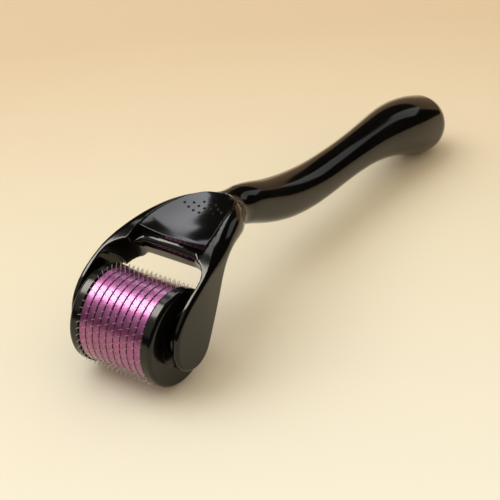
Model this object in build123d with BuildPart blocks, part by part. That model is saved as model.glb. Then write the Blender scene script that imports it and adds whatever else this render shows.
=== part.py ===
"""Derma roller: a fork-headed handle and a drum of needle discs that spins on a steel pin.

Frame: +X along the axle, +Y from the drum to the end of the handle, +Z up. The origin is on the
surface that the roller rests on, straight below the axle, so the needle tips and the ball at the
end of the handle both touch Z = 0. All sizes are in millimetres.
"""
from math import cos, radians, sin
import os

from build123d import *

# ---- drum -------------------------------------------------------------------------------------
drum_radius = 10.8            # outside of the coloured bands
needle_length = 1.0           # how far a needle stands out of the drum
band_count = 9
band_pitch = 1.876            # from one needle disc to the next
disc_thickness = 0.22
needles_per_disc = 45
needle_base = 0.34            # width of a needle where it leaves its disc
needle_tip = 0.05
disc_rim_depth = 0.45         # the disc's rim lies this far below the bands, in the groove
band_edge = 0.10              # chamfer on each band's rim
core_radius = 7.0
core_wall = 1.5
ring_slip = 0.02              # bands and discs slide on to the core
hub_radius = 3.1
web_count = 3                 # webs between the core's tube and its hub
web_thickness = 1.2
key_width = 1.6               # ribs on the core, over the webs, stop the bands and discs turning
key_height = 0.8
flange_radius = 11.1
flange_width = 2.6
flange_rounding = 0.9
flange_dish_radius = 6.4      # shallow dish in a flange's outer face
flange_dish_depth = 0.5
spigot_length = 2.4           # the flange's spigot plugs the core's tube
spigot_wall = 1.0

# ---- axle and fork ----------------------------------------------------------------------------
axle_height = drum_radius + needle_length
axle_radius = 1.5
running_clearance = 0.05
arm_inner = 13.2              # half the gap between the two arms
arm_outer = 14.8
boss_face = 11.4              # a round boss inside each arm reaches in to here
boss_radius = 3.8
tab_radius = 6.3              # round end of each arm
socket_depth = 1.7            # blind hole in each boss that holds the axle
drum_clearance = 12.5         # radius swept clear round the axle between the arms
arm_rounding = 1.4            # outer edges of the arms and head
axle_end_play = 0.1
axle_chamfer = 0.25
tab_side = 28.0               # degrees below level where the arm's rear edge meets its round end

# ---- head -------------------------------------------------------------------------------------
window_back = 9.9             # front wall of the head, behind the drum, at its top
window_top = 26.4             # height of the wall's top edge
window_lean = 0.47            # the wall leans back by this much per millimetre of depth
window_corner = 7.3
pad_depth = 1.3
pad_base = 22.0               # the pad's outline is cut down to this height at most
pad_dish_radius = 60.0        # the thumb pad is hollowed by a sphere of this radius
pad_dish_depth = 0.7
pad_middle = 22.0             # how far back the hollow is deepest
pad_top = 28.9                # height of the pad's surface there, before it is hollowed
dot_radius = 0.36
dot_pitch = 1.7               # along a row
dot_row_gap = 2.1             # from row to row
dot_rows = (7, 5, 3)
dot_sink = 0.12
dot_start = 25.6              # first row of dots

# ---- handle -----------------------------------------------------------------------------------
ball_radius = 8.1
ball_y = 124.6
cover_level = 0.75            # the cover's seam lies this fraction of the radius below the middle
cover_start, cover_end = 52.0, 108.0
cover_half_width = 3.3
cover_fit = 0.05
channel_half_width = 2.4
channel_end = 3.0             # the channel stops this far short of each end of the cover
channel_level = 0.45          # roof of the channel, as a fraction of the radius above the middle
rib_length = 7.0              # ribs on the cover that grip the channel
rib_height = 3.0
rib_wall = 1.0
rib_root = 0.4                # ribs start this far below the seam

above, below = 40.0, -10.0    # heights clear of the whole handle, for cutting shapes
overlap = 0.5                 # how far one shape is sunk into the next where they join

# Middle line of the neck and handle in the plane X = 0: (y, z, radius of the round section)
handle_line = [
    (31.0, 25.4, 3.0), (36.0, 24.3, 4.4), (41.2, 22.3, 4.9), (47.8, 19.7, 5.25),
    (54.7, 17.4, 5.5), (61.7, 15.8, 5.55), (69.1, 14.8, 5.4), (76.5, 14.4, 5.2),
    (84.3, 14.2, 5.1), (92.5, 14.0, 5.3), (101.1, 13.5, 6.0), (109.5, 12.4, 7.1),
    (117.3, 10.5, 7.9), (ball_y, ball_radius, ball_radius),
]

# Side view (y, z) and top view (x, y) of the head and its arms
top_line = [
    (-5.7, 15.4), (-3.9, 18.7), (-1.1, 21.3), (2.8, 23.5), (9.9, 26.4),
    (16.0, 28.1), (20.0, 28.7), (27.0, 29.0), (33.5, 28.0), (39.0, 25.8),
]
bottom_line = [(39.0, 20.2), (30.0, 21.8), (22.0, 23.2), (15.9, 22.2), (11.6, 17.5), (8.0, 12.5)]
side_outline = [
    (arm_outer, 4.0), (14.3, 9.0), (13.1, 16.0), (11.7, 20.5), (9.3, 27.0), (6.7, 31.5), (3.5, 39.0),
]
pad_outline = [(9.2, 14.0), (9.5, 18.0), (8.8, 23.0), (6.6, 28.3), (3.4, 32.2), (0.0, 33.4)]
pad_lip = 12.3                # middle of the pad's front edge

os.makedirs("parts", exist_ok=True)
half_stack = band_count * band_pitch / 2
flange_inner = half_stack + disc_thickness / 2


def across_axle(x):
    """Sketch plane across the axle at x: its x axis is +Y and its y axis is +Z."""
    return Plane(origin=(x, 0, axle_height), x_dir=(0, 1, 0), z_dir=(1, 0, 0))


def finish(solid, name):
    """Label a finished piece and write it."""
    solid.label = name
    export_step(solid, f"parts/{name}.step")


def mirrored(points):
    """Points of the other half of an outline that is the same on both sides of X = 0."""
    return [(-x, y) for x, y in reversed(points)]


# ---- outer shape of the handle, neck, head and arms ----------------------------------------------
with BuildPart() as grip_shape:
    for index, (y, z, radius) in enumerate(handle_line):
        before = handle_line[max(index - 1, 0)]
        after = handle_line[min(index + 1, len(handle_line) - 1)]
        along = (0, after[0] - before[0], after[1] - before[1])
        with BuildSketch(Plane(origin=(0, y, z), x_dir=(1, 0, 0), z_dir=along)):
            Circle(radius)
    loft()
    with Locations((0, ball_y, ball_radius)):
        Sphere(ball_radius)

tab_angle = radians(-tab_side)
tab_end = (tab_radius * cos(tab_angle), axle_height + tab_radius * sin(tab_angle))

with BuildPart() as fork_shape:
    with BuildSketch(Plane.YZ.offset(-arm_outer)):
        with BuildLine():
            Spline([(-tab_radius, axle_height)] + top_line)
            Line(top_line[-1], bottom_line[0])
            Spline(bottom_line + [tab_end])
            ThreePointArc(tab_end, (0, axle_height - tab_radius), (-tab_radius, axle_height))
        make_face()
    extrude(amount=2 * arm_outer)
    with BuildSketch(Plane.XY):
        with BuildLine():
            corners = [(-arm_outer, below), (arm_outer, below)]
            Polyline([mirrored(side_outline)[-1]] + corners + [side_outline[0]])
            Spline(side_outline)
            Line(side_outline[-1], mirrored(side_outline)[0])
            Spline(mirrored(side_outline))
        make_face()
    extrude(amount=above, mode=Mode.INTERSECT)
    outer_edges = fork_shape.edges().filter_by(lambda edge: edge.geom_type != GeomType.LINE)
    fillet(outer_edges, arm_rounding)
    with BuildSketch(Plane.XY.offset(above)) as window:
        with Locations((0, window_back - window_lean * (above - window_top))):
            Rectangle(2 * arm_inner, 3 * arm_outer, align=(Align.CENTER, Align.MAX))
        fillet(window.vertices().group_by(Axis.Y)[-1], window_corner)
    extrude(amount=2 * above, dir=(0, window_lean, -1), mode=Mode.SUBTRACT)
    with BuildSketch(across_axle(-arm_inner)):
        Circle(drum_clearance)
    extrude(amount=2 * arm_inner, mode=Mode.SUBTRACT)
    with BuildSketch(across_axle(boss_face), across_axle(-arm_inner)):
        Circle(boss_radius)
    extrude(amount=arm_inner - boss_face)

# ---- handle body with its channel, pad recess and axle sockets ------------------------------------
rear_line = [point for point in handle_line if cover_start - 6 < point[0] < cover_end + 6]
cover_middle = (cover_start + cover_end) / 2
seam_line = [(y, z - cover_level * radius) for y, z, radius in rear_line]
roof_line = [(y, z + channel_level * radius) for y, z, radius in rear_line]


def below_seam(length, half_width, drop):
    """Round-ended solid under the cover's seam, with its top lowered by drop."""
    with BuildPart() as block:
        with BuildSketch(Plane.YZ.offset(-half_width)):
            with BuildLine():
                seam = Spline([(y, z - drop) for y, z in seam_line])
                Polyline([seam @ 1, (seam_line[-1][0], below), (seam_line[0][0], below), seam @ 0])
            make_face()
        extrude(amount=2 * half_width)
        with BuildSketch(Plane.XY.offset(below)):
            with Locations((0, cover_middle)):
                SlotOverall(length, 2 * half_width, rotation=90)
        extrude(amount=above, mode=Mode.INTERSECT)
    return block.part


cover_slot = below_seam(cover_end - cover_start, cover_half_width, 0)
cover_space = below_seam(cover_end - cover_start - 2 * cover_fit, cover_half_width - cover_fit, cover_fit)

with BuildPart() as channel_shape:
    with BuildSketch(Plane.YZ.offset(-channel_half_width)):
        with BuildLine():
            roof = Spline(roof_line)
            Polyline([roof @ 1, (roof_line[-1][0], below), (roof_line[0][0], below), roof @ 0])
        make_face()
    extrude(amount=2 * channel_half_width)
    with BuildSketch(Plane.XY.offset(below)):
        with Locations((0, cover_middle)):
            SlotOverall(cover_end - cover_start - 2 * channel_end, 2 * channel_half_width, rotation=90)
    extrude(amount=above, mode=Mode.INTERSECT)

with BuildPart() as pad_area:
    with BuildSketch(Plane.XY.offset(pad_base)):
        with BuildLine():
            Spline(pad_outline + mirrored(pad_outline)[1:])
            ThreePointArc(mirrored(pad_outline)[-1], (0, pad_lip), pad_outline[0])
        make_face()
    extrude(amount=above - pad_base)

with BuildPart() as pad_floor:
    with BuildSketch(Plane.YZ.offset(-arm_outer)):
        with BuildLine():
            floor = Spline([(y, z - pad_depth) for y, z in top_line[4:]])
            Polyline([floor @ 1, (top_line[-1][0], above), (top_line[4][0], above), floor @ 0])
        make_face()
    extrude(amount=2 * arm_outer)
pad_space = pad_area.part & pad_floor.part

with BuildPart() as outer_shape:
    add(fork_shape.part)
    add(grip_shape.part)

with BuildPart() as handle_body:
    add(outer_shape.part)
    add(pad_space, mode=Mode.SUBTRACT)
    add(channel_shape.part, mode=Mode.SUBTRACT)
    add(cover_slot, mode=Mode.SUBTRACT)
    with BuildSketch(across_axle(-boss_face - socket_depth)):
        Circle(axle_radius)
    extrude(amount=2 * (boss_face + socket_depth), mode=Mode.SUBTRACT)
finish(handle_body.part, "handle_body")

# ---- cover strip along the underside of the handle -----------------------------------------------
with BuildPart() as underside_cover:
    add(outer_shape.part)
    add(cover_space, mode=Mode.INTERSECT)
    for y, z, radius in rear_line[2:-1:2]:
        seam_height = z - cover_level * radius
        with BuildSketch(Plane.XY.offset(seam_height - rib_root)):
            with Locations((0, y)):
                Rectangle(2 * (channel_half_width - cover_fit), rib_length)
                Rectangle(2 * (channel_half_width - rib_wall), 2 * rib_length, mode=Mode.SUBTRACT)
        extrude(amount=rib_height)
finish(underside_cover.part, "underside_cover")

# ---- thumb pad with its raised dots ----------------------------------------------------------------
with BuildPart() as thumb_pad:
    add(outer_shape.part)
    add(pad_space, mode=Mode.INTERSECT)
    with Locations((0, pad_middle, pad_top + pad_dish_radius - pad_dish_depth)):
        Sphere(pad_dish_radius, mode=Mode.SUBTRACT)
    for row, count in enumerate(dot_rows):
        dot_y = dot_start + row * dot_row_gap
        rise = (dot_y - pad_middle) ** 2 / (2 * pad_dish_radius)
        with Locations((0, dot_y, pad_top - pad_dish_depth + rise - dot_sink)):
            with GridLocations(dot_pitch, 1, count, 1):
                Sphere(dot_radius)
finish(thumb_pad.part, "thumb_pad")

# ---- steel axle, held in the two arms -------------------------------------------------------------
with BuildPart() as axle_pin:
    half_length = boss_face + socket_depth - axle_end_play
    with BuildSketch(across_axle(-half_length)):
        Circle(axle_radius)
    extrude(amount=2 * half_length)
    chamfer(axle_pin.edges().filter_by(GeomType.CIRCLE), axle_chamfer)
finish(axle_pin.part, "axle_pin")

# ---- drum: core, flanges, bands and needle discs ---------------------------------------------------
bore_radius = axle_radius + running_clearance
key_size = key_height + overlap

with BuildPart() as roller_core:
    with BuildSketch(across_axle(-flange_inner)):
        Circle(core_radius)
        with PolarLocations(0, web_count):
            with Locations((core_radius - overlap, 0)):
                Rectangle(key_size, key_width, align=(Align.MIN, Align.CENTER))
        Circle(core_radius - core_wall, mode=Mode.SUBTRACT)
        Circle(hub_radius)
        with PolarLocations(0, web_count):
            with Locations((hub_radius - overlap, 0)):
                web_length = core_radius - core_wall - hub_radius + 2 * overlap
                Rectangle(web_length, web_thickness, align=(Align.MIN, Align.CENTER))
        Circle(bore_radius, mode=Mode.SUBTRACT)
    extrude(amount=2 * flange_inner)
    for end in (-flange_inner, flange_inner - spigot_length):
        with BuildSketch(across_axle(end)):
            Circle(core_radius - core_wall)
        extrude(amount=spigot_length, mode=Mode.SUBTRACT)
finish(roller_core.part, "roller_core")


def key_notches():
    """Cut, from a ring's sketch, its bore and the notches that fit over the core's ribs."""
    Circle(core_radius + ring_slip, mode=Mode.SUBTRACT)
    with PolarLocations(0, web_count):
        with Locations((core_radius - overlap, 0)):
            Rectangle(key_size + ring_slip, key_width + 2 * ring_slip,
                      align=(Align.MIN, Align.CENTER), mode=Mode.SUBTRACT)


for band in range(band_count):
    start = -half_stack + band * band_pitch + disc_thickness / 2
    width = band_pitch - disc_thickness
    with BuildPart() as band_ring:
        with BuildSketch(across_axle(start)):
            Circle(drum_radius)
            key_notches()
        extrude(amount=width)
        rims = band_ring.edges().filter_by(GeomType.CIRCLE).sort_by(SortBy.RADIUS)[-2:]
        chamfer(rims, band_edge)
    finish(band_ring.part, f"band_ring_{band + 1}")

disc_radius = drum_radius - disc_rim_depth
needle_root = disc_radius - disc_thickness
needle_height = drum_radius + needle_length - needle_root
needle_outline = [
    (0, -needle_base / 2), (needle_height, -needle_tip / 2),
    (needle_height, needle_tip / 2), (0, needle_base / 2),
]
for disc in range(band_count + 1):
    stagger = (disc % 2) * 180 / needles_per_disc
    with BuildPart() as needle_disc:
        with BuildSketch(across_axle(-flange_inner + disc * band_pitch)):
            Circle(disc_radius)
            with PolarLocations(0, needles_per_disc, start_angle=stagger):
                with Locations((needle_root, 0)):
                    Polygon(*needle_outline, align=None)
            key_notches()
        extrude(amount=disc_thickness)
    finish(needle_disc.part, f"needle_disc_{disc + 1}")

for name, side in (("left_flange", -1), ("right_flange", 1)):
    with BuildPart() as flange:
        with BuildSketch(across_axle(side * flange_inner)):
            Circle(flange_radius)
        extrude(amount=side * flange_width)
        outer_rim = flange.edges().sort_by(Axis.X)[-1 if side > 0 else 0]
        fillet(outer_rim, flange_rounding)
        with BuildSketch(across_axle(side * (flange_inner + flange_width))):
            Circle(flange_dish_radius)
            Circle(hub_radius, mode=Mode.SUBTRACT)
        extrude(amount=-side * flange_dish_depth, mode=Mode.SUBTRACT)
        with BuildSketch(across_axle(side * flange_inner)):
            Circle(core_radius - core_wall - ring_slip)
            Circle(core_radius - core_wall - spigot_wall, mode=Mode.SUBTRACT)
        extrude(amount=-side * (spigot_length - ring_slip))
        with BuildSketch(across_axle(side * (flange_inner + flange_width))):
            Circle(bore_radius)
        extrude(amount=-side * flange_width, mode=Mode.SUBTRACT)
    finish(flange.part, name)
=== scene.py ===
"""Looks for the derma roller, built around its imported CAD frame.

The moulded parts are meshed from smooth distance fields and the drum's parts from turned profiles.
Shapes are worked out in millimetres in the CAD frame and stored in metres.
"""
from math import cos, pi, radians, sin, tan

import bmesh
import bpy
import numpy as np
from mathutils import Matrix, Vector


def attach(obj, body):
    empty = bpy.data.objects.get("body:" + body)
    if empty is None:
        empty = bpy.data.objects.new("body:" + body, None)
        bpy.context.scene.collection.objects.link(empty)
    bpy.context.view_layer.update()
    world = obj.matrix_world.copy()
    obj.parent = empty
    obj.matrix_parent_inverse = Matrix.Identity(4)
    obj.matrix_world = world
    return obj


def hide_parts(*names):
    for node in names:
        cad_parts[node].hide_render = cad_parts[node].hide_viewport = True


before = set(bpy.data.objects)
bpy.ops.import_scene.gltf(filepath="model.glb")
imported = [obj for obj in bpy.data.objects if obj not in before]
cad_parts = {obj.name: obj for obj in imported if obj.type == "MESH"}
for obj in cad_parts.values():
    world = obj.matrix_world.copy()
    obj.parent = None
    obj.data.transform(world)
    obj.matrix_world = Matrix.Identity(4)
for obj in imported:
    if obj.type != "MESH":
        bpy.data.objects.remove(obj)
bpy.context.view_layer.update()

MM = 0.001

# ---- sizes in millimetres ----------------------------------------------------------------------
# These follow the CAD source, except that the neck blends more softly into the head, the head's
# top is slightly higher, and the wall behind the drum leans back a little more.
axle = 11.8
drum_radius = 10.8
needle_length = 1.0
band_count = 9
band_pitch = 1.876
disc_thickness = 0.22
needles_per_disc = 45
disc_rim_depth = 0.45
core_bore = 7.04
key_top = 7.85
flange_inner = band_count * band_pitch / 2 + disc_thickness / 2
flange_width = 2.6
flange_radius = 11.1
arm_inner, arm_outer = 13.2, 14.8
boss_face, boss_radius = 11.4, 3.8
tab_radius, tab_side = 6.3, 28.0
drum_clearance = 12.5
window_back, window_corner = 9.9, 7.3
window_top, window_lean = 26.4, 0.55

handle_line = [
    (31.0, 24.6, 2.6), (36.0, 23.8, 4.3), (41.2, 22.3, 4.9), (47.8, 19.7, 5.25), (54.7, 17.4, 5.5),
    (61.7, 15.8, 5.55), (69.1, 14.8, 5.4), (76.5, 14.4, 5.2), (84.3, 14.2, 5.1), (92.5, 14.0, 5.3),
    (101.1, 13.5, 6.0), (109.5, 12.4, 7.1), (117.3, 10.5, 7.9), (124.6, 8.1, 8.1),
]
top_line = [
    (-5.7, 15.4), (-3.9, 18.7), (-1.1, 21.3), (2.8, 23.5), (9.9, 26.6),
    (16.0, 28.6), (20.0, 29.25), (26.0, 29.45), (32.0, 28.6), (36.0, 26.6), (40.0, 23.9),
]
bottom_line = [(40.0, 22.0), (30.0, 21.8), (22.0, 23.2), (15.9, 22.2), (11.6, 17.5), (8.0, 12.5)]
side_outline = [
    (-8.0, 14.75), (-2.0, 14.85), (4.0, 14.75), (9.0, 14.3), (16.0, 13.1), (20.5, 11.7), (27.0, 9.3),
    (31.5, 6.7), (36.0, 3.6), (40.0, 0.9),
]
pad_outline = [(13.2, 9.3), (16.0, 9.0), (19.5, 8.3), (23.0, 7.4), (26.5, 6.5), (29.5, 5.3), (31.8, 3.6)]
pad_front, pad_rear = 12.1, 33.4
pad_thickness = 1.6
cover_start, cover_end, cover_half = 52.0, 108.0, 3.3
cover_level = 0.75


# ---- curves and distance fields ----------------------------------------------------------------
class Cubic:
    """Natural cubic spline through (x, value) points, straight beyond its ends."""

    def __init__(self, xs, values):
        self.x, self.v = np.array(xs, float), np.array(values, float)
        n, h = len(self.x), np.diff(self.x)
        a, b = np.eye(n), np.zeros(n)
        for i in range(1, n - 1):
            a[i, i - 1:i + 2] = h[i - 1], 2 * (h[i - 1] + h[i]), h[i]
            b[i] = 6 * ((self.v[i + 1] - self.v[i]) / h[i] - (self.v[i] - self.v[i - 1]) / h[i - 1])
        self.m = np.linalg.solve(a, b)

    def at(self, x, order=0):
        x = np.asarray(x, float)
        t = np.clip(x, self.x[0], self.x[-1])
        i = np.clip(np.searchsorted(self.x, t) - 1, 0, len(self.x) - 2)
        h = self.x[i + 1] - self.x[i]
        a, b = (self.x[i + 1] - t) / h, (t - self.x[i]) / h
        m0, m1 = self.m[i], self.m[i + 1]
        if order == 2:
            return a * m0 + b * m1
        slope = (self.v[i + 1] - self.v[i]) / h + ((3 * b * b - 1) * m1 - (3 * a * a - 1) * m0) * h / 6
        if order == 1:
            return slope
        value = a * self.v[i] + b * self.v[i + 1] + ((a ** 3 - a) * m0 + (b ** 3 - b) * m1) * h * h / 6
        return value + slope * (x - t)


def dense(points, step=0.12):
    """Close points along a smooth curve through the given ones."""
    points = np.array(points, float)
    along = np.r_[0, np.cumsum(np.hypot(*np.diff(points, axis=0).T))]
    s = np.linspace(0, along[-1], int(along[-1] / step) + 2)
    return np.c_[Cubic(along, points[:, 0]).at(s), Cubic(along, points[:, 1]).at(s)]


def outline_distance(outline, u, v):
    """Signed distance from (u, v) to a closed outline, negative inside."""
    best, inside = np.full(u.shape, 1e9), np.zeros(u.shape, bool)
    for (u0, v0), (u1, v1) in zip(outline, np.roll(outline, -1, axis=0)):
        du, dv = u1 - u0, v1 - v0
        length = du * du + dv * dv
        if length < 1e-12:
            continue
        t = np.clip(((u - u0) * du + (v - v0) * dv) / length, 0, 1)
        best = np.minimum(best, (u - u0 - t * du) ** 2 + (v - v0 - t * dv) ** 2)
        if dv:
            inside ^= ((v0 > v) != (v1 > v)) & (u < u0 + (v - v0) * du / dv)
    return np.where(inside, -1, 1) * np.sqrt(best)


class Baked:
    """A distance field in a plane, kept on a grid and read back with cubic interpolation."""

    def __init__(self, outline, low, high, step):
        self.low, self.step = low, step
        u = np.arange(low[0], high[0] + step, step)
        v = np.arange(low[1], high[1] + step, step)
        self.f = outline_distance(outline, *np.meshgrid(u, v, indexing="ij"))

    def at(self, u, v):
        u, v = np.broadcast_arrays(u, v)
        out = 0
        i, wu = self.weights(u, 0)
        j, wv = self.weights(v, 1)
        for a in range(4):
            for b in range(4):
                out = out + wu[a] * wv[b] * self.f[i + a - 1, j + b - 1]
        return out

    def weights(self, u, axis):
        t = (u - self.low[axis]) / self.step
        i = np.clip(np.floor(t).astype(int), 1, self.f.shape[axis] - 3)
        t = np.clip(t - i, 0, 1)
        return i, (
            (-t ** 3 + 2 * t * t - t) / 2, (3 * t ** 3 - 5 * t * t + 2) / 2,
            (-3 * t ** 3 + 4 * t * t + t) / 2, (t ** 3 - t * t) / 2,
        )


def common(a, b, r):
    """Where both shapes are, with the edge between them rounded to radius r."""
    return np.minimum(np.maximum(a, b), -r) + np.hypot(np.maximum(a + r, 0), np.maximum(b + r, 0))


def joined(a, b, k):
    """Either shape, with a soft fillet about k wide where they meet."""
    h = np.maximum(k - np.abs(a - b), 0) / k
    return np.minimum(a, b) - h * h * k / 4


def ramp(x, low, high):
    """Rises smoothly from 0 at low to 1 at high."""
    t = np.clip((x - low) / (high - low), 0, 1)
    return t * t * (3 - 2 * t)


spine = Cubic([p[0] for p in handle_line], [p[1] for p in handle_line])
thickness = Cubic([p[0] for p in handle_line] + [131.9], [p[2] for p in handle_line] + [7.9])
half_width = Cubic(*zip(*side_outline))
crest = Cubic((9.9, 16.0, 20.0, 26.0, 30.0, 33.4, 38.0), (26.6, 28.6, 29.25, 29.45, 29.1, 28.5, 27.6))
pad_half = Cubic(*zip(*pad_outline))
hollow = Cubic((12.6, 16.0, 20.0, 24.0, 28.0, 31.0, 33.4), (27.85, 28.2, 28.4, 28.55, 28.65, 28.6, 28.5))

tab_end = (tab_radius * cos(radians(-tab_side)), axle + tab_radius * sin(radians(-tab_side)))
arc = np.radians(np.linspace(-tab_side, -180, 90))
side_shape = np.concatenate([
    dense([(-tab_radius, axle)] + top_line),
    dense(bottom_line + [tab_end]),
    np.c_[tab_radius * np.cos(arc), axle + tab_radius * np.sin(arc)],
])
side_field = Baked(side_shape, (-10.0, 2.0), (44.0, 33.0), 0.2)
pad_half_points = dense([(9.3, 13.2), (9.0, 16.0), (8.3, 19.5), (7.4, 23.0), (6.5, 26.5), (5.1, 30.0),
                         (2.9, 32.6), (0.0, pad_rear)])
pad_front_points = dense([(-9.3, 13.2), (-5.0, 12.45), (0.0, pad_front), (5.0, 12.45), (9.3, 13.2)])
pad_shape = np.concatenate([pad_half_points, pad_half_points[::-1] * (-1, 1), pad_front_points])
pad_field = Baked(pad_shape, (-16.0, -10.0), (16.0, 44.0), 0.15)


def grip_field(x, y, z):
    """The round handle: a tapering rod round its middle line, ended by a ball."""
    t = np.clip(y + 0 * z, handle_line[0][0], handle_line[-1][0])
    for _ in range(8):
        off, slope = z - spine.at(t), spine.at(t, 1)
        step = ((y - t) + off * slope) / np.maximum(1 + slope ** 2 - off * spine.at(t, 2), 0.4)
        t = np.clip(t + step, handle_line[0][0], handle_line[-1][0])
    flat = np.hypot(y - t, z - spine.at(t))
    return np.hypot(x, flat) - thickness.at(t)


def window_field(ax, y):
    """The opening between the arms, open towards -Y, with round back corners."""
    u, v = ax - (arm_inner - window_corner), y - (window_back - window_corner)
    return np.minimum(np.maximum(u, v), 0) + np.hypot(np.maximum(u, 0), np.maximum(v, 0)) - window_corner


def whole_field(x, y, z):
    """Handle, head and arms in one skin, before the pad and cover are cut out."""
    ax = np.abs(x)
    plan = (ax - half_width.at(y)) / np.sqrt(1 + half_width.at(y, 1) ** 2)
    rounding = 0.8 + 2.4 * ramp(y, 5, 17)
    fork = common(side_field.at(y, z), plan, rounding)
    ledge_top = (crest.at(np.maximum(y, 4)) - 0.55 - 0.016 * ax * ax - z) * 0.92
    ledge_cut = np.maximum(np.maximum(ledge_top, ax - 9.4), np.maximum(y - 13.2, 7.0 - y))
    fork = common(fork, -ledge_cut, 0.35)
    rim = 0.22 + 2.0 * ramp(y, 8.6, 9.6) * (1 - ramp(ax, 7.0, 9.0))
    fork = common(fork, -window_field(ax, y + window_lean * (z - window_top)), rim)
    swept = np.maximum(np.hypot(y, z - axle) - drum_clearance, ax - arm_inner)
    fork = common(fork, -swept, 0.22)
    boss = common(np.hypot(y, z - axle) - boss_radius, np.maximum(boss_face - ax, ax - arm_inner - 0.5), 0.3)
    fork = joined(fork, boss, 0.5)
    return joined(fork, grip_field(x, y, z), 1.2 + 1.6 * ramp(y, 26, 34))


def pad_top(x, y):
    """Height of the hollowed pad, which rises to a crease at its outline."""
    across = np.clip(np.abs(x) / np.maximum(pad_half.at(y), 1.5), 0, 1.3)
    rise = np.maximum(crest.at(y) - hollow.at(y), -0.1)
    return hollow.at(y) + rise * across ** 2


def pad_space(x, y, z, gap):
    """The space the pad fills, grown by gap."""
    floor = crest.at(y) - pad_thickness - gap - z
    return common(pad_field.at(x, y) - gap, floor, 0.05)


def cover_space_field(x, y, z, gap):
    """The space of the strip under the handle, grown by gap."""
    middle, half = (cover_start + cover_end) / 2, (cover_end - cover_start) / 2 - cover_half
    outline = np.hypot(x, np.maximum(np.abs(y - middle) - half, 0)) - cover_half - gap
    seam = (z - spine.at(y) + cover_level * thickness.at(y)) - gap
    return common(outline, seam, 0.1)


def handle_field(x, y, z):
    """The handle's moulding, with the pad's and the cover's spaces cut out."""
    skin = whole_field(x, y, z)
    skin = common(skin, -pad_space(x, y, z, 0.05), 0.1)
    return common(skin, -cover_space_field(x, y, z, 0.06), 0.14)


def pad_piece_field(x, y, z):
    top = (z - pad_top(x, y)) * 0.97
    return common(pad_space(x, y, z, -0.02), top, 0.1)


def cover_piece_field(x, y, z):
    return common(whole_field(x, y, z), cover_space_field(x, y, z, -0.06), 0.16)


# ---- meshing ------------------------------------------------------------------------------------
def net(field, xs, ys, zs):
    """Vertices and quads of a field's zero level, one vertex in each cell that it crosses."""
    half = xs[xs > -1e-9]
    right = field(half[:, None, None], ys[None, :, None], zs[None, None, :])
    f = np.concatenate([right[:0:-1], right])
    axes = (xs, ys, zs)
    inside = f < 0
    n = np.array(f.shape) - 1
    corners = [(a, b, c) for a in (0, 1) for b in (0, 1) for c in (0, 1)]
    count = sum(inside[a:a + n[0], b:b + n[1], c:c + n[2]].astype(np.int8) for a, b, c in corners)
    cells = np.argwhere((count > 0) & (count < 8))
    index = np.full(n, -1)
    index[tuple(cells.T)] = np.arange(len(cells))
    total, number = np.zeros((len(cells), 3)), np.zeros(len(cells))
    for corner in corners:
        for axis in range(3):
            if corner[axis]:
                continue
            a = cells + corner
            b = a.copy()
            b[:, axis] += 1
            fa, fb = f[tuple(a.T)], f[tuple(b.T)]
            cross = (fa < 0) != (fb < 0)
            t = np.where(cross, fa / np.where(cross, fa - fb, 1), 0)
            pa = np.stack([axes[k][a[:, k]] for k in range(3)], 1)
            pb = np.stack([axes[k][b[:, k]] for k in range(3)], 1)
            total += (pa + t[:, None] * (pb - pa)) * cross[:, None]
            number += cross
    points = total / number[:, None]
    quads = []
    for axis in range(3):
        u, v = (axis + 1) % 3, (axis + 2) % 3
        first = np.take(inside, range(n[axis]), axis)
        second = np.take(inside, range(1, n[axis] + 1), axis)
        edges = np.argwhere(first != second)
        edges = edges[(edges[:, u] > 0) & (edges[:, v] > 0) & (edges[:, u] < n[u]) & (edges[:, v] < n[v])]
        eu, ev = np.eye(3, dtype=int)[u], np.eye(3, dtype=int)[v]
        quad = np.stack([index[tuple((edges - d).T)] for d in (eu + ev, ev, eu * 0, eu)], 1)
        out = inside[tuple(edges.T)]
        quads.append(np.where(out[:, None], quad, quad[:, ::-1]))
    for _ in range(4):
        x, y, z = points.T
        h = 0.02
        slope = np.stack([
            field(x + h, y, z) - field(x - h, y, z), field(x, y + h, z) - field(x, y - h, z),
            field(x, y, z + h) - field(x, y, z - h),
        ], 1) / (2 * h)
        size = np.maximum((slope ** 2).sum(1), 0.25)
        move = (field(x, y, z) / size)[:, None] * slope
        points = points - np.clip(move, -0.12, 0.12)
    return points, np.concatenate(quads)


def spacing(*stops):
    """Grid lines from stop to stop: (start, step), ..., end."""
    parts = []
    for (start, step), after in zip(stops[:-1], stops[1:]):
        end = after[0] if isinstance(after, tuple) else after
        parts.append(np.linspace(start, end, max(int(round((end - start) / step)), 1), endpoint=False))
    return np.concatenate(parts + [[stops[-1]]])


def even(limit, step):
    """Grid lines both sides of 0, with one on 0."""
    n = int(np.ceil(limit / step))
    return np.arange(-n, n + 1) * step


def make(name, points, faces, material, body, slot, *nodes, sharp=None):
    """A piece of the object from points in millimetres."""
    mesh = bpy.data.meshes.new(name)
    mesh.from_pydata((np.asarray(points) * MM).tolist(), [], [list(map(int, q)) for q in faces])
    work = bmesh.new()
    work.from_mesh(mesh)
    bmesh.ops.remove_doubles(work, verts=work.verts, dist=1e-7)
    bmesh.ops.recalc_face_normals(work, faces=work.faces)
    work.to_mesh(mesh)
    work.free()
    mesh.shade_smooth()
    if sharp:
        mesh.set_sharp_from_angle(angle=radians(sharp))
    mesh.materials.append(material)
    piece = bpy.data.objects.new(name, mesh)
    bpy.context.scene.collection.objects.link(piece)
    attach(piece, body)
    if nodes:
        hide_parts(*nodes)
    return piece


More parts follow.
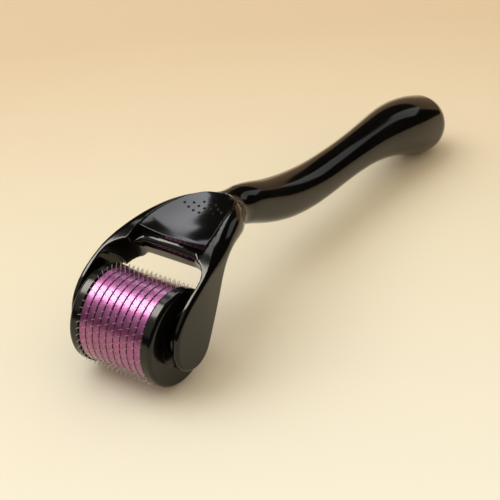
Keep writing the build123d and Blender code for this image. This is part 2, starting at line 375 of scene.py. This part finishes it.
def softened(corners, radius, steps=4, support=0.03):
    """A closed (x, r) profile with its corners rounded."""
    out = []
    n = len(corners)
    for i, corner in enumerate(corners):
        p, a, b = (np.array(corners[k % n], float) for k in (i, i - 1, i + 1))
        size = corner[2] if len(corner) > 2 else radius
        p, a, b = p[:2], a[:2], b[:2]
        da, db = (a - p) / np.linalg.norm(a - p), (b - p) / np.linalg.norm(b - p)
        turn = np.arccos(np.clip(da @ db, -1, 1))
        reach = size / tan(turn / 2)
        middle = p + (da + db) / np.linalg.norm(da + db) * size / sin(turn / 2)
        start, end = p + da * reach, p + db * reach
        out.append(start + da * support)
        for k in range(steps + 1):
            t = k / steps
            v = (start - middle) * sin((1 - t) * (pi - turn)) + (end - middle) * sin(t * (pi - turn))
            out.append(middle + v / sin(pi - turn))
        out.append(end + db * support)
    return np.array(out)


def turned(profile, segments=288, shape=None):
    """Points and quads of a profile turned about the axle."""
    angle = np.arange(segments) * 2 * pi / segments
    x = np.repeat(profile[None, :, 0], segments, 0)
    r = np.repeat(profile[None, :, 1], segments, 0)
    if shape is not None:
        r = shape(angle[:, None], r)
    points = np.stack([x, r * np.cos(angle)[:, None], axle + r * np.sin(angle)[:, None]], -1)
    n = profile.shape[0]
    i, j = np.meshgrid(np.arange(segments), np.arange(n), indexing="ij")
    a, b = i * n + j, i * n + (j + 1) % n
    c, d = (i + 1) % segments * n + (j + 1) % n, (i + 1) % segments * n + j
    return points.reshape(-1, 3), np.stack([a, b, c, d], -1).reshape(-1, 4)


def keyed(angle, r):
    """Opens the bore over the core's three ribs."""
    turn = np.abs((angle + pi / 3) % (2 * pi / 3) - pi / 3)
    return np.where((r < key_top) & (turn * r < 0.86), key_top, r)


# ---- materials ----------------------------------------------------------------------------------
def new_material(name):
    material = bpy.data.materials.new(name)
    material.use_nodes = True
    tree = material.node_tree
    return material, tree, tree.nodes["Principled BSDF"]


def add(tree, kind, inputs=(), **settings):
    """A node with its settings and inputs: a value, or a socket to link from."""
    made = tree.nodes.new(kind)
    for key, value in settings.items():
        setattr(made, key, value)
    for key, value in dict(inputs).items():
        if isinstance(value, bpy.types.NodeSocket):
            tree.links.new(value, made.inputs[key])
        else:
            made.inputs[key].default_value = value
    return made


def between(tree, factor, low, high):
    """A number that goes from low to high with the factor."""
    return add(tree, "ShaderNodeMapRange", {"Value": factor, "To Min": low, "To Max": high}).outputs["Result"]


def between_ends(tree, value, low, high):
    """How far a value is from low, 0, to high, 1."""
    scaled = add(tree, "ShaderNodeMapRange", {"Value": value, "From Min": low, "From Max": high})
    return scaled.outputs["Result"]


def colours(tree, factor, *stops):
    """A colour ramp with (place, colour) stops."""
    made = add(tree, "ShaderNodeValToRGB", {"Fac": factor})
    elements = made.color_ramp.elements
    for i, (place, colour) in enumerate(stops):
        element = elements[i] if i < 2 else elements.new(place)
        element.position, element.color = place, (*colour, 1)
    return made.outputs["Color"]


def set_all(shader, values):
    for key, value in values.items():
        shader.inputs[key].default_value = value


def moulded(name, dark, light, rough, grain=0.02, tint=(1, 1, 1)):
    """Glossy moulded plastic: faint flow marks in its gloss and a very slight orange peel."""
    material, tree, shader = new_material(name)
    place = add(tree, "ShaderNodeTexCoord").outputs["Object"]
    clouds = add(tree, "ShaderNodeTexNoise", {"Vector": place, "Scale": 90.0, "Detail": 4.0}).outputs["Fac"]
    peel = add(tree, "ShaderNodeTexNoise", {"Vector": place, "Scale": 420.0, "Detail": 2.0}).outputs["Fac"]
    dust = add(tree, "ShaderNodeTexNoise", {"Vector": place, "Scale": 2600.0, "Detail": 3.0}).outputs["Fac"]
    tree.links.new(colours(tree, clouds, (0.3, dark), (0.7, light)), shader.inputs["Base Color"])
    mixed = add(tree, "ShaderNodeMath", {0: between(tree, clouds, -0.02, 0.02),
                                         1: between(tree, dust, rough - 0.02, rough + 0.03)}, operation="ADD")
    tree.links.new(mixed.outputs[0], shader.inputs["Roughness"])
    bump = add(tree, "ShaderNodeBump", {"Height": peel, "Strength": grain, "Distance": 0.0002})
    tree.links.new(bump.outputs["Normal"], shader.inputs["Normal"])
    set_all(shader, {"IOR": 1.5, "Specular IOR Level": 0.43, "Specular Tint": (*tint, 1), "Coat Weight": 0.0})
    return material


def turned_metal(name, low, high, rough, streak=0.04, lines=9000.0, coat=0.0, metal=1.0):
    """Metal with fine turning marks that run round the axle."""
    material, tree, shader = new_material(name)
    place = add(tree, "ShaderNodeTexCoord").outputs["Object"]
    part = add(tree, "ShaderNodeSeparateXYZ", {"Vector": place}).outputs
    height = add(tree, "ShaderNodeMath", {0: part["Z"], 1: axle * MM}, operation="SUBTRACT").outputs[0]
    angle = add(tree, "ShaderNodeMath", {0: height, 1: part["Y"]}, operation="ARCTAN2").outputs[0]
    across = add(tree, "ShaderNodeMath", {0: part["X"], 1: lines}, operation="MULTIPLY").outputs[0]
    far = add(tree, "ShaderNodeMath", {0: height, 1: part["Y"]}, operation="MULTIPLY").outputs[0]
    flow = add(tree, "ShaderNodeCombineXYZ", {"X": across, "Y": angle, "Z": far}).outputs["Vector"]
    marks = add(tree, "ShaderNodeTexNoise", {"Vector": flow, "Scale": 1.0, "Detail": 5.0}).outputs["Fac"]
    spots = add(tree, "ShaderNodeTexNoise", {"Vector": place, "Scale": 700.0, "Detail": 4.0}).outputs["Fac"]
    tone = add(tree, "ShaderNodeMath", {0: marks, 1: spots}, operation="MULTIPLY").outputs[0]
    tree.links.new(colours(tree, tone, (0.12, low), (0.40, high)), shader.inputs["Base Color"])
    tree.links.new(between(tree, marks, rough - 0.05, rough + 0.07), shader.inputs["Roughness"])
    bump = add(tree, "ShaderNodeBump", {"Height": marks, "Strength": streak, "Distance": 0.00005})
    tree.links.new(bump.outputs["Normal"], shader.inputs["Normal"])
    set_all(shader, {"Metallic": metal, "Coat Weight": coat, "Coat Roughness": 0.19})
    return material


warm = (1, 0.95, 0.86)
plastic = moulded("gloss_black_handle", (0.0018, 0.0017, 0.0015), (0.0032, 0.003, 0.0027), 0.09, tint=warm)
pad_plastic = moulded("gloss_black_pad", (0.002, 0.002, 0.002), (0.0035, 0.0034, 0.0033), 0.10, 0.006)
flange_plastic = moulded("gloss_black_flange", (0.002, 0.0019, 0.0018), (0.004, 0.0038, 0.0035), 0.16,
                         tint=warm)
cover_plastic = moulded("gloss_black_cover", (0.0025, 0.0023, 0.0021), (0.0045, 0.0042, 0.004), 0.14, 0.05)
core_plastic = moulded("moulded_core", (0.012, 0.012, 0.012), (0.03, 0.03, 0.03), 0.42, 0.2)
purple = turned_metal("purple_anodised", (0.27, 0.055, 0.18), (0.40, 0.11, 0.29), 0.36, coat=1.0)
steel = turned_metal("needle_steel", (0.58, 0.56, 0.53), (0.86, 0.83, 0.80), 0.3, metal=0.6)
axle_steel = turned_metal("axle_steel", (0.45, 0.45, 0.46), (0.72, 0.72, 0.73), 0.18, lines=4000.0)

# ---- the handle, its cover and the thumb pad ----------------------------------------------------
along = spacing((-8.0, 0.26), (42.0, 0.5), 133.6)
points, quads = net(handle_field, even(15.6, 0.26), along, spacing((-0.8, 0.26), 30.6))
make("handle_shell", points, quads, plastic, "handle", "handle", "handle_body")

along = spacing((50.8, 0.3), 109.2)
points, quads = net(cover_piece_field, even(3.9, 0.15), along, spacing((4.0, 0.15), 15.0))
make("cover_shell", points, quads, cover_plastic, "handle", "handle", "underside_cover")

along = spacing((12.0, 0.15), 34.2)
points, quads = net(pad_piece_field, even(9.9, 0.15), along, spacing((24.5, 0.12), 30.2))
make("pad_shell", points, quads, pad_plastic, "handle", "pad", "thumb_pad")

dot_points, dot_faces = [], []
rings, around, dot_radius, dot_height = 6, 20, 0.36, 0.26
for row, count in enumerate((7, 5, 3)):
    for k in range(count):
        x = (k - (count - 1) / 2) * 1.7
        y = 23.1 + 2.1 * row + 0.06 * x * x
        foot = float(pad_top(np.array(x), np.array(y))) - 0.08
        base = sum(len(p) for p in dot_points)
        ring_points = []
        for ring in range(rings):
            lean = ring / rings * pi / 2
            for a in np.arange(around) * 2 * pi / around:
                ring_points.append((x + dot_radius * cos(lean) * cos(a), y + dot_radius * cos(lean) * sin(a),
                                    foot + (dot_height + 0.08) * sin(lean)))
        ring_points.append((x, y, foot + dot_height + 0.08))
        dot_points.append(np.array(ring_points))
        for ring in range(rings - 1):
            for a in range(around):
                b = (a + 1) % around
                dot_faces.append([base + ring * around + a, base + ring * around + b,
                                  base + (ring + 1) * around + b, base + (ring + 1) * around + a])
        top = base + rings * around
        dot_faces += [[base + (rings - 1) * around + a, base + (rings - 1) * around + (a + 1) % around, top]
                      for a in range(around)]
        dot_faces.append([base + a for a in range(around)][::-1])
make("pad_dots", np.concatenate(dot_points), dot_faces, pad_plastic, "handle", "pad")

# ---- the drum --------------------------------------------------------------------------------------
band_width = band_pitch - disc_thickness
for band in range(band_count):
    left = -band_count * band_pitch / 2 + band * band_pitch + disc_thickness / 2
    right = left + band_width
    bore = [(left, core_bore, 0.03), (right, core_bore, 0.03)]
    profile = softened(bore + [(right, drum_radius), (left, drum_radius)], 0.11)
    points, quads = turned(profile, shape=keyed)
    make(f"band_{band + 1}", points, quads, purple, "roller", "band", f"band_ring_{band + 1}")

rim_radius = drum_radius - disc_rim_depth
sides = 8
levels = [
    (rim_radius - 0.2, 1.0), (rim_radius + 0.25, 0.95), (drum_radius + 0.3, 0.8),
    (drum_radius + 0.75, 0.6), (drum_radius + needle_length - 0.02, 0.2),
]
for disc in range(band_count + 1):
    middle = -flange_inner + disc * band_pitch + disc_thickness / 2
    low, high = middle - disc_thickness / 2 + 0.004, middle + disc_thickness / 2 - 0.004
    bore = [(low, core_bore, 0.02), (high, core_bore, 0.02)]
    profile = softened(bore + [(high, rim_radius), (low, rim_radius)], 0.04, 2, 0.01)
    points, quads = turned(profile, shape=keyed)
    faces = quads.tolist()
    parts = [points]
    base = len(points)
    for k in range(needles_per_disc):
        a = 2 * pi * (k + disc % 2 / 2) / needles_per_disc
        ring_points = []
        for r, size in levels:
            for s in range(sides):
                b = 2 * pi * s / sides
                t, x = 0.13 * size * cos(b), 0.1 * size * sin(b)
                ring_points.append((middle + x, r * cos(a) - t * sin(a), axle + r * sin(a) + t * cos(a)))
        point = drum_radius + needle_length
        ring_points.append((middle, point * cos(a), axle + point * sin(a)))
        parts.append(np.array(ring_points))
        for level in range(len(levels) - 1):
            for s in range(sides):
                n = (s + 1) % sides
                faces.append([base + level * sides + s, base + level * sides + n,
                              base + (level + 1) * sides + n, base + (level + 1) * sides + s])
        last = base + (len(levels) - 1) * sides
        faces += [[last + s, last + (s + 1) % sides, base + len(levels) * sides] for s in range(sides)]
        faces.append([base + s for s in range(sides)][::-1])
        base += len(ring_points)
    make(f"needles_{disc + 1}", np.concatenate(parts), faces, steel, "roller", "needles",
         f"needle_disc_{disc + 1}", sharp=50)

for name, side in (("left", -1), ("right", 1)):
    inner, outer = flange_inner, flange_inner + flange_width
    profile = softened([
        (inner - 2.38, 4.5, 0.08), (inner - 2.38, 5.48, 0.15), (inner, 5.48, 0.05),
        (inner, flange_radius, 0.2),
        (outer, flange_radius, 0.9), (outer, 6.4, 0.25), (outer - 0.5, 6.15, 0.2), (outer - 0.5, 3.35, 0.2),
        (outer, 3.1, 0.2), (outer, 1.55, 0.12), (inner, 1.55, 0.08), (inner, 4.5, 0.05),
    ], 0.1, 6, 0.02)
    profile[:, 0] *= side
    points, quads = turned(profile)
    make(f"{name}_flange_shell", points, quads, flange_plastic, "roller", "flange", f"{name}_flange")

for node, material in (("roller_core", core_plastic), ("axle_pin", axle_steel)):
    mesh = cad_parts[node].data
    mesh.materials.clear()
    mesh.materials.append(material)

# ---- floor, light and camera ---------------------------------------------------------------------
floor_material, tree, shader = new_material("cream_paper_painted_shade")
place = add(tree, "ShaderNodeTexCoord").outputs["Object"]
part = add(tree, "ShaderNodeSeparateXYZ", {"Vector": place}).outputs
# Painted shade: the paper is painted darker and tanner towards +Y and -X, away from the camera, in place of
# the light falling off across it; the small noise on top is random tone.
painted_falloff = add(tree, "ShaderNodeMath", {0: part["X"], 1: -0.7}, operation="MULTIPLY").outputs[0]
painted_falloff = add(tree, "ShaderNodeMath", {0: part["Y"], 1: painted_falloff}, operation="ADD").outputs[0]
noise = add(tree, "ShaderNodeTexNoise", {"Vector": place, "Scale": 5.0, "Detail": 2.0}).outputs["Fac"]
noise = between(tree, noise, -0.04, 0.04)
tone = add(tree, "ShaderNodeMath", {0: painted_falloff, 1: noise}, operation="ADD").outputs[0]
fibre = add(tree, "ShaderNodeTexNoise", {"Vector": place, "Scale": 900.0, "Detail": 5.0}).outputs["Fac"]
# The ramp carries the painted shade: pale cream at the near end, darker tan at the far end.
paper = colours(tree, between_ends(tree, tone, -0.12, 0.24), (0.0, (0.86, 0.87, 0.85)),
                (0.5, (0.79, 0.74, 0.62)), (1.0, (0.68, 0.55, 0.40)))
tree.links.new(paper, shader.inputs["Base Color"])
tree.links.new(between(tree, fibre, 0.75, 0.9), shader.inputs["Roughness"])
bump = add(tree, "ShaderNodeBump", {"Height": fibre, "Strength": 0.05, "Distance": 0.0001})
tree.links.new(bump.outputs["Normal"], shader.inputs["Normal"])
set_all(shader, {"Specular IOR Level": 0.2})
ground = bmesh.new()
bmesh.ops.create_grid(ground, x_segments=24, y_segments=24, size=3.0)
floor_mesh = bpy.data.meshes.new("floor")
ground.to_mesh(floor_mesh)
ground.free()
floor_mesh.materials.append(floor_material)
floor = bpy.data.objects.new("floor", floor_mesh)
bpy.context.scene.collection.objects.link(floor)


def softbox(name, direction, distance, width, height, radiance, colour=(1, 1, 1),
            floor_light=True, glossy=True):
    """A rectangular light facing the drum. It can be kept off matt surfaces, or out of reflections."""
    data = bpy.data.lights.new(name, "AREA")
    data.shape, data.size, data.size_y = "RECTANGLE", width, height
    data.energy = radiance * pi * width * height
    data.color = colour
    light = bpy.data.objects.new(name, data)
    light.location = Vector(direction).normalized() * distance + Vector((0, 0.02, 0.015))
    light.rotation_euler = Vector(direction).to_track_quat("Z", "Y").to_euler()
    light.visible_camera = False
    light.visible_diffuse = floor_light
    light.visible_glossy = glossy
    bpy.context.scene.collection.objects.link(light)


softbox("key", (-0.58, -0.15, 0.80), 0.65, 0.30, 0.30, 9.5, (1, 0.99, 0.96), floor_light=False)
softbox("soft_key", (-0.45, -0.20, 0.87), 0.9, 0.85, 0.85, 1.75, (0.90, 0.98, 1), glossy=False)
softbox("halo", (-0.55, -0.55, 0.62), 0.9, 1.0, 0.75, 0.45, (1, 0.95, 0.95), floor_light=False)
softbox("fill", (-0.372, 0.557, 0.746), 0.42, 0.138, 0.235, 2.9, (0.96, 0.97, 1), floor_light=False)
softbox("fill_side", (-0.524, 0.297, 0.885), 0.449, 0.10, 0.08, 2.4, (0.96, 0.97, 1), floor_light=False)
softbox("streak", (0.205, 0.79, 0.415), 0.88, 0.29, 0.30, 0.7, (0.93, 0.97, 1), floor_light=False)
softbox("tan_paper", (-0.239, 0.958, 0.158), 0.9, 0.80, 0.32, 0.42, (1, 0.66, 0.38), floor_light=False)

world = bpy.data.worlds.new("studio")
bpy.context.scene.world = world
world.use_nodes = True
tree = world.node_tree
background = tree.nodes["Background"]
background.inputs["Color"].default_value = (1.0, 0.85, 0.62, 1)
rays = add(tree, "ShaderNodeLightPath").outputs
tree.links.new(between(tree, rays["Is Glossy Ray"], 0.90, 0.012), background.inputs["Strength"])

forward = Vector((-0.50251, 0.69822, -0.50987))
right = Vector((0.82433, 0.56476, -0.03903))
up = right.cross(forward)
camera_data = bpy.data.cameras.new("camera")
camera_data.lens, camera_data.sensor_width = 100.8, 36.0
camera_data.clip_start, camera_data.clip_end = 0.01, 20.0
camera = bpy.data.objects.new("camera", camera_data)
camera.matrix_world = Matrix.Translation((0.168773, -0.192532, 0.180353)) @ Matrix(
    (right, up, -forward)).transposed().to_4x4()
bpy.context.scene.collection.objects.link(camera)
bpy.context.scene.camera = camera
bpy.context.scene.view_settings.view_transform = "Standard"
bpy.context.scene.view_settings.look = "None"
